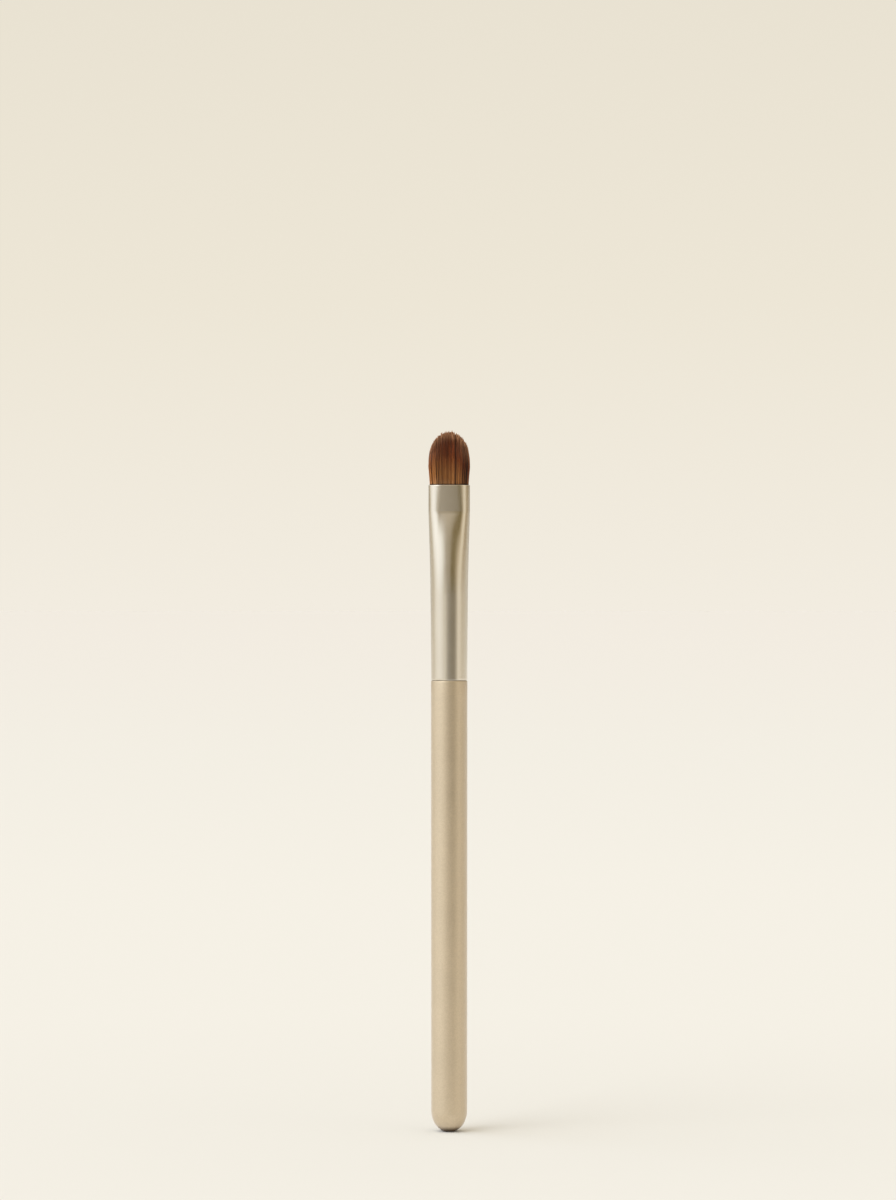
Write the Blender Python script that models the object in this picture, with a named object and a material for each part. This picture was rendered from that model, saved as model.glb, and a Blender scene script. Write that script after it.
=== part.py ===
"""Concealer brush: a turned wooden handle with a domed butt, a drawn metal ferrule that is pressed
flat at its mouth, and a tuft of synthetic filaments bound, potted and glued into that mouth.

The brush stands upright. The origin is at the bottom of the butt, on the handle's axis, with +Z
towards the tuft, X across the wide side of the tuft and Y through its thin side.
"""

import math
import random

import bmesh
import bpy

MM = 0.001

# Handle sizes
HANDLE_LENGTH = 96.5 * MM  # from the bottom of the butt to the shoulder
HANDLE_DIAMETER = 7.8 * MM  # at the shoulder
BUTT_DIAMETER = 7.7 * MM  # where the dome starts
BUTT_DOME_HEIGHT = 4.4 * MM
BUTT_FLAT_DIAMETER = 3.0 * MM  # flat foot that ends the dome, on which the brush stands
SHOULDER_ROUND = 0.3 * MM
TENON_LENGTH = 12.0 * MM
TENON_CHAMFER = 0.6 * MM
GLUE_GROOVE_COUNT = 3
GLUE_GROOVE_WIDTH = 1.2 * MM
GLUE_GROOVE_DEPTH = 0.45 * MM

# Ferrule sizes
FERRULE_LENGTH = 41.8 * MM
FERRULE_DIAMETER = 7.75 * MM  # of the tube before it is pressed
FERRULE_WALL = 0.24 * MM
FERRULE_EDGE_ROUND = 0.09 * MM
MOUTH_WIDTH = 8.87 * MM
MOUTH_CORNER_RADIUS = 1.9 * MM
PANEL_LENGTH = 5.8 * MM  # flat pressed panel, down from the mouth
ROUND_LENGTH = 6.0 * MM  # length above the seam that stays round
PRESS_EASE = 2.5  # power by which the pressed shape fades into the round tube

# Bond between the tenon and the ferrule
ADHESIVE_THICKNESS = 0.15 * MM
FIT_CLEARANCE = 0.1 * MM  # between any two pieces that touch

# Tuft sizes, with heights counted from the ferrule's mouth
TUFT_LENGTH = 11.6 * MM
TUFT_WIDTH = 9.25 * MM  # across its belly
TUFT_THICKNESS = 4.95 * MM
BELLY_HEIGHT = 5.4 * MM  # where the tuft is widest and its dome begins
FILAMENT_DIAMETER = 0.24 * MM
FILAMENT_GAP = 0.06 * MM  # between filaments where they leave the potting
FILAMENT_SCATTER = 0.25 * MM  # how far a tip may lie below the dome
SLICE_DEPTH = 0.35 * MM  # from the mouth down to the top of the potting
SLICE_THICKNESS = 0.9 * MM

# Root plug and its binding thread
COLLAR_LENGTH = 1.4 * MM  # of the plug, above and below the thread
THREAD_DIAMETER = 0.5 * MM
THREAD_GAP = 0.5 * MM  # between one turn and the next
THREAD_TURNS = 4

# Shape counts and shares
SIDES = 40
ARC_STEPS = 10
EDGE_STEPS = 3
PRESS_STEPS = 9
LEVEL_EASE = 1.5  # power that crowds the ferrule's levels towards its panel
EDGE_LIMIT_SHARE = 1 / 3  # the most that the wall gives up to each rounded edge
WELD_SHARE = 0.01  # of the clearance: how near two points are one
SHARP_ANGLE = math.radians(30)
THREAD_POINTS_PER_TURN = 24
FILAMENT_SIDES = 3
DOME_POWER = 2.4  # 2 is an ellipse; more fills out the corners of the tuft's outline
LEAN_SHARES = (0.1, 0.3)  # how far a tip leans in from the belly, along X and along Y
RISE_SHARES = (0.0, 0.45, 0.85)  # stations on a filament, of the way from the belly to its tip
GIRTH_SHARES = (1.0, 1.05, 0.88, 0.5)  # a filament's thickness at its foot and those stations
SCATTER_SEED = 7

# Places that follow from the sizes
SEAM_HEIGHT = HANDLE_LENGTH + FIT_CLEARANCE
MOUTH_HEIGHT = SEAM_HEIGHT + FERRULE_LENGTH
PLUG_TOP = FERRULE_LENGTH - SLICE_DEPTH - SLICE_THICKNESS - FIT_CLEARANCE
WINDING_LENGTH = THREAD_TURNS * (THREAD_DIAMETER + THREAD_GAP)
WAIST_LENGTH = WINDING_LENGTH + THREAD_DIAMETER + 2 * FIT_CLEARANCE
PLUG_INSET = FERRULE_WALL + FIT_CLEARANCE
THREAD_INSET = PLUG_INSET + THREAD_DIAMETER / 2
WAIST_INSET = PLUG_INSET + THREAD_DIAMETER + FIT_CLEARANCE


def clear_scene():
    for obj in list(bpy.data.objects):
        bpy.data.objects.remove(obj)


def finish(name, colour, roughness, metallic=0.0):
    """A plain Principled material, with its colour in linear RGB."""
    material = bpy.data.materials.new(name)
    material.use_nodes = True
    shader = material.node_tree.nodes["Principled BSDF"]
    shader.inputs["Base Color"].default_value = (*colour, 1.0)
    shader.inputs["Roughness"].default_value = roughness
    shader.inputs["Metallic"].default_value = metallic
    return material


def place(name, data, material, parent, height):
    """An object on the brush's axis, with its own origin at a height above the butt."""
    obj = bpy.data.objects.new(name, data)
    data.materials.append(material)
    bpy.context.scene.collection.objects.link(obj)
    obj.parent = parent
    obj.location.z = height
    return obj


def mesh_from(bm, name):
    bmesh.ops.recalc_face_normals(bm, faces=bm.faces)
    mesh = bpy.data.meshes.new(name)
    bm.to_mesh(mesh)
    bm.free()
    mesh.shade_smooth()
    mesh.set_sharp_from_angle(angle=SHARP_ANGLE)
    return mesh


def outline(half_width, half_thickness, corner, count=SIDES):
    """Evenly spaced points round a rounded rectangle, anticlockwise from +X.

    A circle is the rounded rectangle whose three sizes are equal.
    """
    side = half_thickness - corner
    bend = corner * math.pi / 2
    quarter = side + bend + half_width - corner
    points = []
    for index in range(count):
        quadrant, along = divmod(index * 4 / count, 1)
        travelled = quarter * (1 - along if quadrant % 2 else along)
        if travelled < side:
            x, y = half_width, travelled
        elif travelled < side + bend:
            angle = (travelled - side) / corner
            x = half_width - corner + corner * math.cos(angle)
            y = side + corner * math.sin(angle)
        else:
            x, y = quarter - travelled, half_thickness
        points.append((-x if quadrant in (1, 2) else x, -y if quadrant > 1 else y))
    return points


def mouth_thickness():
    """Pressing doesn't stretch the tube, so the mouth is as thin as its girth and width ask."""
    corners_save = (8 - math.tau) * MOUTH_CORNER_RADIUS
    return (math.pi * FERRULE_DIAMETER + corners_save) / 2 - MOUTH_WIDTH


def pressed(height):
    """How flat the ferrule is at a height above its lower edge: 0 is round, 1 fully pressed."""
    panel = FERRULE_LENGTH - PANEL_LENGTH
    share = (panel - height) / (panel - ROUND_LENGTH)
    return (1 - min(max(share, 0), 1)) ** PRESS_EASE


def ferrule_section(height, inset=0.0):
    """Half width, half thickness and corner radius, drawn in from the ferrule's outside."""
    radius = FERRULE_DIAMETER / 2
    share = pressed(height)
    half_thickness = mouth_thickness() / 2
    mouth = (MOUTH_WIDTH / 2, half_thickness, min(MOUTH_CORNER_RADIUS, half_thickness))
    return [radius + share * (size - radius) - inset for size in mouth]


def ferrule_levels(low, high):
    """Heights, with both ends, at which the ferrule's changing shape is drawn."""
    panel = FERRULE_LENGTH - PANEL_LENGTH
    steps = [index / PRESS_STEPS for index in range(PRESS_STEPS + 1)]
    bends = [panel - (panel - ROUND_LENGTH) * step**LEVEL_EASE for step in steps]
    return [low, *sorted(level for level in bends if low < level < high), high]


def ring(height, sizes):
    return [(x, y, height) for x, y in outline(*sizes)]


def skin(bm, rings, tube=False):
    """Faces over rings of equally many points, capped at the ends or closed into a tube's wall.

    A last ring of one point closes the skin in a tip.
    """
    loops = [[bm.verts.new(point) for point in points] for points in rings]
    pairs = list(zip(loops, loops[1:]))
    if tube:
        pairs.append((loops[-1], loops[0]))
    for lower, upper in pairs:
        for here in range(len(lower)):
            after = (here + 1) % len(lower)
            if len(upper) == 1:
                bm.faces.new((lower[here], lower[after], upper[0]))
            else:
                bm.faces.new((lower[here], lower[after], upper[after], upper[here]))
    if not tube:
        bm.faces.new(reversed(loops[0]))
        if len(loops[-1]) > 1:
            bm.faces.new(loops[-1])


def rounded_edge(radius, height, size, start, sweep=math.pi / 2):
    """Radii and heights along a round edge about its centre, turning by sweep from start."""
    angles = [start + sweep * step / EDGE_STEPS for step in range(EDGE_STEPS + 1)]
    return [(radius + size * math.cos(a), height + size * math.sin(a)) for a in angles]


def turn(bm, profile, closed=False):
    """Spins a profile of radii and heights round the axis, into a solid or a closed ring."""
    verts = [bm.verts.new((radius, 0, height)) for radius, height in profile]
    edges = [bm.edges.new(pair) for pair in zip(verts, verts[1:])]
    if closed:
        edges.append(bm.edges.new((verts[-1], verts[0])))
    bmesh.ops.spin(
        bm,
        geom=verts + edges,
        axis=(0, 0, 1),
        cent=(0, 0, 0),
        angle=math.tau,
        steps=SIDES,
        use_merge=True,
    )
    bmesh.ops.remove_doubles(bm, verts=bm.verts, dist=FIT_CLEARANCE * WELD_SHARE)


def tenon_radius():
    """The tenon fills the narrowest part of the ferrule that it reaches, less the bond."""
    narrowest = ferrule_section(TENON_LENGTH - FIT_CLEARANCE, FERRULE_WALL)[1]
    return narrowest - ADHESIVE_THICKNESS - 2 * FIT_CLEARANCE


def groove_heights():
    """Lower and upper height of each glue groove above the shoulder."""
    pitch = (TENON_LENGTH - TENON_CHAMFER) / (GLUE_GROOVE_COUNT + 1)
    middles = [pitch * (index + 1) for index in range(GLUE_GROOVE_COUNT)]
    half = GLUE_GROOVE_WIDTH / 2
    return [(middle - half, middle + half) for middle in middles]


def handle_mesh():
    """Domed butt, slightly tapered body, round-edged shoulder and grooved tenon."""
    butt = BUTT_DIAMETER / 2
    first = math.asin(BUTT_FLAT_DIAMETER / BUTT_DIAMETER)
    profile = [(0, 0)]
    for step in range(ARC_STEPS + 1):
        angle = first + (math.pi / 2 - first) * step / ARC_STEPS
        drop = BUTT_DOME_HEIGHT * math.cos(angle) / math.cos(first)
        profile.append((butt * math.sin(angle), BUTT_DOME_HEIGHT - drop))
    edge = HANDLE_DIAMETER / 2 - SHOULDER_ROUND
    profile += rounded_edge(edge, HANDLE_LENGTH - SHOULDER_ROUND, SHOULDER_ROUND, 0)
    radius = tenon_radius()
    profile.append((radius, HANDLE_LENGTH))
    floor = radius - GLUE_GROOVE_DEPTH
    for low, high in groove_heights():
        low, high = HANDLE_LENGTH + low, HANDLE_LENGTH + high
        profile += [(radius, low), (floor, low), (floor, high), (radius, high)]
    top = HANDLE_LENGTH + TENON_LENGTH
    profile += [(radius, top - TENON_CHAMFER), (radius - TENON_CHAMFER, top), (0, top)]
    bm = bmesh.new()
    turn(bm, profile)
    return mesh_from(bm, "handle")


def adhesive_mesh():
    """Sleeve of set adhesive, with a rib in each of the tenon's glue grooves."""
    inner = tenon_radius() + FIT_CLEARANCE
    outer = inner + ADHESIVE_THICKNESS
    rib = inner - GLUE_GROOVE_DEPTH
    top = TENON_LENGTH - TENON_CHAMFER
    profile = [(inner, FIT_CLEARANCE), (outer, FIT_CLEARANCE), (outer, top), (inner, top)]
    for low, high in reversed(groove_heights()):
        low, high = low + FIT_CLEARANCE, high - FIT_CLEARANCE
        profile += [(inner, high), (rib, high), (rib, low), (inner, low)]
    bm = bmesh.new()
    turn(bm, profile, closed=True)
    return mesh_from(bm, "tenon_adhesive")


def ferrule_mesh():
    """Thin tube, round at the seam and pressed to a rounded rectangle at the mouth."""
    edge = min(FERRULE_EDGE_ROUND, FERRULE_WALL * EDGE_LIMIT_SHARE)
    low, high = edge, FERRULE_LENGTH - edge
    outside = [ring(level, ferrule_section(level)) for level in ferrule_levels(low, high)]
    inside = [
        ring(level, ferrule_section(level, FERRULE_WALL))
        for level in reversed(ferrule_levels(low, high))
    ]
    lip, foot = [], []
    for step in range(1, EDGE_STEPS):
        angle = math.pi / 2 * step / EDGE_STEPS
        inset, rise = edge * (1 - math.cos(angle)), edge * math.sin(angle)
        lip.append(ring(high + rise, ferrule_section(high, inset)))
        foot.append(ring(low - rise, ferrule_section(low, inset)))
    lip.append(ring(FERRULE_LENGTH, ferrule_section(high, edge)))
    lip.append(ring(FERRULE_LENGTH, ferrule_section(high, FERRULE_WALL - edge)))
    foot.append(ring(0, ferrule_section(low, edge)))
    foot.append(ring(0, ferrule_section(low, FERRULE_WALL - edge)))
    bm = bmesh.new()
    skin(bm, [*outside, *lip, *inside, *reversed(foot)], tube=True)
    return mesh_from(bm, "ferrule")


def plug_mesh():
    """Filament roots set in epoxy, moulded to the ferrule, with a waist for the thread."""
    waist_high = PLUG_TOP - COLLAR_LENGTH
    waist_low = waist_high - WAIST_LENGTH
    bottom = waist_low - COLLAR_LENGTH
    rings = []
    for low, high, inset in (
        (bottom, waist_low, PLUG_INSET),
        (waist_low, waist_high, WAIST_INSET),
        (waist_high, PLUG_TOP, PLUG_INSET),
    ):
        for level in ferrule_levels(low, high):
            rings.append(ring(level, ferrule_section(level, inset)))
    bm = bmesh.new()
    skin(bm, rings)
    return mesh_from(bm, "root_plug")


def thread_path():
    """Points along the thread's centre, wound up the plug's waist at a steady rate."""
    low = PLUG_TOP - COLLAR_LENGTH - FIT_CLEARANCE - THREAD_DIAMETER / 2 - WINDING_LENGTH
    points = []
    last = THREAD_TURNS * THREAD_POINTS_PER_TURN
    for index in range(last + 1):
        height = low + WINDING_LENGTH * index / last
        loop = outline(*ferrule_section(height, THREAD_INSET), THREAD_POINTS_PER_TURN)
        points.append((*loop[index % THREAD_POINTS_PER_TURN], height))
    return points


def binding_curve():
    """Binding thread: one unbroken tube round the filament roots."""
    path = thread_path()
    later = path[THREAD_POINTS_PER_TURN:]
    gap = min(math.dist(a, b) for a, b in zip(path, later)) - THREAD_DIAMETER
    print(f"least gap between turns of the thread: {gap / MM:.2f} mm")
    curve = bpy.data.curves.new("root_binding", "CURVE")
    curve.dimensions = "3D"
    curve.bevel_depth = THREAD_DIAMETER / 2
    curve.bevel_resolution = 1
    curve.use_fill_caps = True
    spline = curve.splines.new("POLY")
    spline.points.add(len(path) - 1)
    for point, position in zip(spline.points, path):
        point.co = (*position, 1)
    return curve


def filament_feet(half_width, half_thickness, corner):
    """Where filaments leave the potting: rings inside the mouth's outline, round a middle row."""
    pitch = FILAMENT_DIAMETER + FILAMENT_GAP
    ring_count = int(half_thickness / pitch)
    spacing = half_thickness / ring_count
    feet = []
    for index in range(ring_count):
        inset = index * spacing
        bend = max(corner - inset, pitch)
        girth = 4 * (half_width + half_thickness - 2 * inset) - (8 - math.tau) * bend
        sizes = (half_width - inset, half_thickness - inset, bend)
        feet += outline(*sizes, int(girth / pitch))
    half_row = half_width - half_thickness
    gaps = int(2 * half_row / pitch)
    feet += [((2 * index / gaps - 1) * half_row, 0) for index in range(gaps + 1)]
    return feet


def filament(bm, foot, belly, shortfall):
    """One filament from inside the potting: it flares to the belly, then leans in to the dome.

    foot is its place at the mouth and belly its place where the tuft is widest.
    """
    half_sizes = (TUFT_WIDTH / 2, TUFT_THICKNESS / 2)
    tip = [place * (1 - lean) for place, lean in zip(belly, LEAN_SHARES)]
    reach = sum(abs(place / half) ** DOME_POWER for place, half in zip(tip, half_sizes))
    crown = BELLY_HEIGHT + (TUFT_LENGTH - BELLY_HEIGHT) * math.sqrt(max(1 - reach, 0))
    top = max(crown - shortfall, BELLY_HEIGHT + FILAMENT_DIAMETER)
    root = -SLICE_DEPTH - SLICE_THICKNESS / 2
    stations = [(root, [f + (b - f) * root / BELLY_HEIGHT for f, b in zip(foot, belly)])]
    for rise in RISE_SHARES:
        place = [b + (t - b) * rise**2 for b, t in zip(belly, tip)]
        stations.append((BELLY_HEIGHT + (top - BELLY_HEIGHT) * rise, place))
    rings = []
    for (height, (x, y)), girth in zip(stations, GIRTH_SHARES):
        radius = girth * FILAMENT_DIAMETER / 2
        angles = [math.tau * side / FILAMENT_SIDES for side in range(FILAMENT_SIDES)]
        rings.append([(x + radius * math.sin(a), y - radius * math.cos(a), height) for a in angles])
    rings.append([(*tip, top)])
    skin(bm, rings)


def filaments_mesh():
    """All filaments, spread from their feet in the mouth to the tuft's size at its belly."""
    foot_radius, belly_radius = (girth * FILAMENT_DIAMETER / 2 for girth in GIRTH_SHARES[:2])
    mouth = ferrule_section(FERRULE_LENGTH, FERRULE_WALL + FIT_CLEARANCE + foot_radius)
    spread_x = (TUFT_WIDTH / 2 - belly_radius) / mouth[0]
    spread_y = (TUFT_THICKNESS / 2 - belly_radius) / mouth[1]
    scatter = random.Random(SCATTER_SEED)
    feet = filament_feet(*mouth)
    bm = bmesh.new()
    for x, y in feet:
        filament(bm, (x, y), (x * spread_x, y * spread_y), FILAMENT_SCATTER * scatter.random())
    print(f"filaments: {len(feet)}")
    return mesh_from(bm, "filaments")


def slice_mesh():
    """Top slice of the potting, in which the filaments are rooted."""
    top = FERRULE_LENGTH - SLICE_DEPTH
    levels = ferrule_levels(top - SLICE_THICKNESS, top)
    bm = bmesh.new()
    inset = PLUG_INSET
    skin(bm, [ring(z - FERRULE_LENGTH, ferrule_section(z, inset)) for z in levels])
    return mesh_from(bm, "bristle_tuft")


def build_tuft(material, parent):
    """The slice of potting, with the filaments joined to it into one body."""
    tuft = place("bristle_tuft", slice_mesh(), material, parent, MOUTH_HEIGHT)
    strands = place("filaments", filaments_mesh(), material, parent, MOUTH_HEIGHT)
    strands.hide_render = True
    strands.display_type = "WIRE"
    join = tuft.modifiers.new("join filaments", "BOOLEAN")
    join.operation = "UNION"
    join.solver = "EXACT"
    join.object = strands


def main():
    clear_scene()
    lacquer = finish("champagne lacquer", (0.57, 0.46, 0.28), 0.42, 0.6)
    anodised = finish("satin anodised aluminium", (0.66, 0.58, 0.43), 0.3, 1.0)
    bristle = finish("chestnut filament", (0.16, 0.06, 0.022), 0.45)
    epoxy = finish("amber epoxy", (0.42, 0.24, 0.08), 0.3)
    cotton = finish("waxed cotton thread", (0.7, 0.64, 0.5), 0.8)
    glue = finish("clear adhesive", (0.75, 0.72, 0.6), 0.25)

    brush = bpy.data.objects.new("brush", None)
    bpy.context.scene.collection.objects.link(brush)
    place("handle", handle_mesh(), lacquer, brush, 0)
    place("tenon_adhesive", adhesive_mesh(), glue, brush, HANDLE_LENGTH)
    place("ferrule", ferrule_mesh(), anodised, brush, SEAM_HEIGHT)
    place("root_plug", plug_mesh(), epoxy, brush, SEAM_HEIGHT)
    place("root_binding", binding_curve(), cotton, brush, SEAM_HEIGHT)
    build_tuft(bristle, brush)


main()
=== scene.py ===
import math
from functools import partial

import bmesh
import bpy
from bpy.props import FloatProperty, FloatVectorProperty, IntProperty, PointerProperty
from mathutils import Euler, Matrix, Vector


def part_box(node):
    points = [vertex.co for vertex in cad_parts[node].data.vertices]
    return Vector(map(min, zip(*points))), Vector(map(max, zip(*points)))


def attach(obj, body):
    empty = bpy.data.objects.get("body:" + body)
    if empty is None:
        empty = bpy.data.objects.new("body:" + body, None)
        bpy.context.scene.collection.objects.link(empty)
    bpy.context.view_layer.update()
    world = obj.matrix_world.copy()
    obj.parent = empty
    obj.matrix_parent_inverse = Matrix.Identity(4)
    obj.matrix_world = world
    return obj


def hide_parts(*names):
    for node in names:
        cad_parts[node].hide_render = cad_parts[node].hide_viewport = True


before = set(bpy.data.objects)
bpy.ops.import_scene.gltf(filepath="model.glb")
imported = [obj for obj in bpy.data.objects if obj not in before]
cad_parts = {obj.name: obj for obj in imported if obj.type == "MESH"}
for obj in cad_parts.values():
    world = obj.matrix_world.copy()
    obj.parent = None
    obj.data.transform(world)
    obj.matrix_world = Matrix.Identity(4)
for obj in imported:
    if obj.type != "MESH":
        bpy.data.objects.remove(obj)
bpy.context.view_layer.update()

bl_info = {
    "name": "Concealer Brush",
    "version": (1, 0, 0),
    "blender": (4, 5, 0),
    "location": "View3D > Sidebar > Brush",
    "description": "Builds a flat concealer brush: turned handle, pressed ferrule, filament tuft and a small studio",
    "category": "Add Mesh",
}

MM = 0.001
BODY = "root"
SHARP_ANGLE = math.radians(35)
SEAM_GAP = 0.04 * MM
FERRULE_EDGE_ROUND = 0.09 * MM
# The scene's mouth is thinner inside than the CAD's, so the pieces in it are narrower and thinner.
PRESSED_SCALE = (0.9, 0.8, 1.0)
# The tuft's narrow sides begin about this far from its middle.
FLANK = 4 * MM
DOME_POWER = 1.92

HANDLE_LOW, HANDLE_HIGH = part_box("handle")
FERRULE_LOW, FERRULE_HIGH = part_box("ferrule")
TUFT_LOW, TUFT_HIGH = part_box("bristle_tuft")
SEAM_HEIGHT = FERRULE_LOW.z
MOUTH_HEIGHT = FERRULE_HIGH.z

MATH = "ShaderNodeMath"
VECTOR_MATH = "ShaderNodeVectorMath"
MIX = "ShaderNodeMix"
MAP_RANGE = "ShaderNodeMapRange"
NOISE = "ShaderNodeTexNoise"
RAMP = "ShaderNodeValToRGB"
SEPARATE = "ShaderNodeSeparateXYZ"
COMBINE = "ShaderNodeCombineXYZ"
MAPPING = "ShaderNodeMapping"
COORDINATES = "ShaderNodeTexCoord"


def linear(code):
    """An sRGB hex colour as the linear values that shaders take."""
    values = [int(code[place:place + 2], 16) / 255 for place in (0, 2, 4)]
    return tuple(v / 12.92 if v <= 0.04045 else ((v + 0.055) / 1.055) ** 2.4 for v in values) + (1.0,)


def feed(node, inputs):
    """Sets a node's inputs. Each is a value, or a socket or node that it is linked from, or a list of these."""
    live = [socket for socket in node.inputs if socket.enabled]
    for key, value in inputs.items():
        socket = live[key] if isinstance(key, int) else next(s for s in live if s.name == key)
        for source in value if isinstance(value, list) else [value]:
            if isinstance(source, bpy.types.Node):
                source = next(s for s in source.outputs if s.enabled)
            if isinstance(source, bpy.types.NodeSocket):
                node.id_data.links.new(source, socket)
            else:
                socket.default_value = source


def add(tree, kind, inputs=None, stops=(), **settings):
    """Adds a node with its settings, its inputs and the stops of its colour ramp."""
    made = tree.nodes.new(kind)
    for name, value in settings.items():
        setattr(made, name, value)
    feed(made, inputs or {})
    for place, colour in stops[1:-1]:
        made.color_ramp.elements.new(place).color = colour
    for end in (0, -1) if stops else ():
        made.color_ramp.elements[end].position, made.color_ramp.elements[end].color = stops[end]
    return made


def finish(name):
    """A material with its node adder and a function that sets its shader's inputs."""
    material = bpy.data.materials.new(name)
    material.use_nodes = True
    tree = material.node_tree
    return material, partial(add, tree), partial(feed, tree.nodes["Principled BSDF"])


def shape_tree(name, sizes):
    """A geometry tree with a named input for each size, its node adder, its inputs and its output node."""
    tree = bpy.data.node_groups.new(name, "GeometryNodeTree")
    for label, value in sizes.items():
        kind = "NodeSocketInt" if isinstance(value, int) else "NodeSocketFloat"
        tree.interface.new_socket(label, in_out="INPUT", socket_type=kind)
    tree.interface.new_socket("Geometry", in_out="OUTPUT", socket_type="NodeSocketGeometry")
    given = tree.nodes.new("NodeGroupInput").outputs
    return tree, partial(add, tree), given, tree.nodes.new("NodeGroupOutput")


def cone(n, toward, azimuth, elevation, inner, outer):
    """How far a direction lies in a soft cone: fully within one angle of its axis, and not at all beyond the other."""
    turn = Euler((-math.radians(elevation), 0, math.radians(azimuth))).to_matrix()
    axis = tuple(turn @ Vector((0, -1, 0)))
    near = n(VECTOR_MATH, {0: toward, 1: axis}, operation="DOT_PRODUCT").outputs["Value"]
    return n(MAP_RANGE, {
        "Value": near, "From Min": math.cos(math.radians(outer)), "From Max": math.cos(math.radians(inner))},
        interpolation_type="SMOOTHSTEP")


def sized(settings, *labels):
    """The tree inputs with these labels, from the settings of the same names."""
    return {label: getattr(settings, label.lower().replace(" ", "_")) for label in labels}


def linked(name, data):
    """A new object with this data, in the scene."""
    item = bpy.data.objects.new(name, data)
    bpy.context.scene.collection.objects.link(item)
    return item


def ring(shape, radius, height, count):
    """New points round the Z axis."""
    angles = [math.tau * k / count for k in range(count)]
    return [shape.verts.new((radius * math.cos(angle), radius * math.sin(angle), height)) for angle in angles]


def solid(name, shape, smooth=True):
    """An object made of this shape, and smooth but for its sharp edges unless told otherwise."""
    mesh = bpy.data.meshes.new(name)
    shape.to_mesh(mesh)
    shape.free()
    if smooth:
        mesh.shade_smooth()
        mesh.set_sharp_from_angle(angle=SHARP_ANGLE)
    return linked(name, mesh)


def grown(name, tree, sizes, finishes=()):
    """A plain mesh object that the tree makes at these sizes, with further modifiers applied."""
    piece = linked(name, bpy.data.meshes.new(name))
    modifier = piece.modifiers.new("Shape", "NODES")
    modifier.node_group = tree
    for item in tree.interface.items_tree:
        if item.in_out == "INPUT":
            modifier[item.identifier] = sizes[item.name]
    for kind, settings in finishes:
        modifier = piece.modifiers.new(kind.title(), kind)
        for key, value in settings.items():
            setattr(modifier, key, value)
    bpy.context.view_layer.update()
    shaped = piece.evaluated_get(bpy.context.evaluated_depsgraph_get())
    made = bpy.data.meshes.new_from_object(shaped)
    made.name = name
    piece.modifiers.clear()
    piece.data = made
    return piece


def join_frame(piece, slot, *nodes):
    """Gives the piece its body and hides the CAD nodes that it stands for. The slot is not used."""
    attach(piece, BODY)
    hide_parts(*nodes)


class HandleSettings(bpy.types.PropertyGroup):
    """Sizes and finish of the turned handle"""
    length: FloatProperty(
        name="Length", description="From the foot to the shoulder under the ferrule",
        default=SEAM_HEIGHT - SEAM_GAP, min=10 * MM, unit="LENGTH")
    diameter: FloatProperty(
        name="Diameter", description="Across the handle at its shoulder",
        default=HANDLE_HIGH.x - HANDLE_LOW.x, min=2 * MM, unit="LENGTH")
    butt_diameter: FloatProperty(
        name="Butt diameter", description="Across the handle where the domed butt begins",
        default=7.7 * MM, min=2 * MM, unit="LENGTH")
    dome_height: FloatProperty(
        name="Dome height", description="Height of the domed butt", default=4.4 * MM, min=0.5 * MM, unit="LENGTH")
    foot_diameter: FloatProperty(
        name="Foot diameter", description="Across the part of the dome that rests on a table",
        default=2.2 * MM, min=0.2 * MM, unit="LENGTH")
    shoulder_round: FloatProperty(
        name="Shoulder round", description="Radius of the lacquered edge under the ferrule",
        default=0.3 * MM, min=0.05 * MM, unit="LENGTH")
    tenon_diameter: FloatProperty(
        name="Tenon diameter", description="Across the tenon inside the ferrule",
        default=6.6 * MM, min=1 * MM, unit="LENGTH")
    sides: IntProperty(name="Sides", description="Faces round the handle", default=128, min=16)
    lacquer: FloatVectorProperty(
        name="Lacquer", description="Colour of the satin lacquer", subtype="COLOR", size=4,
        min=0, max=1, default=linear("c7b699"))


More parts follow.
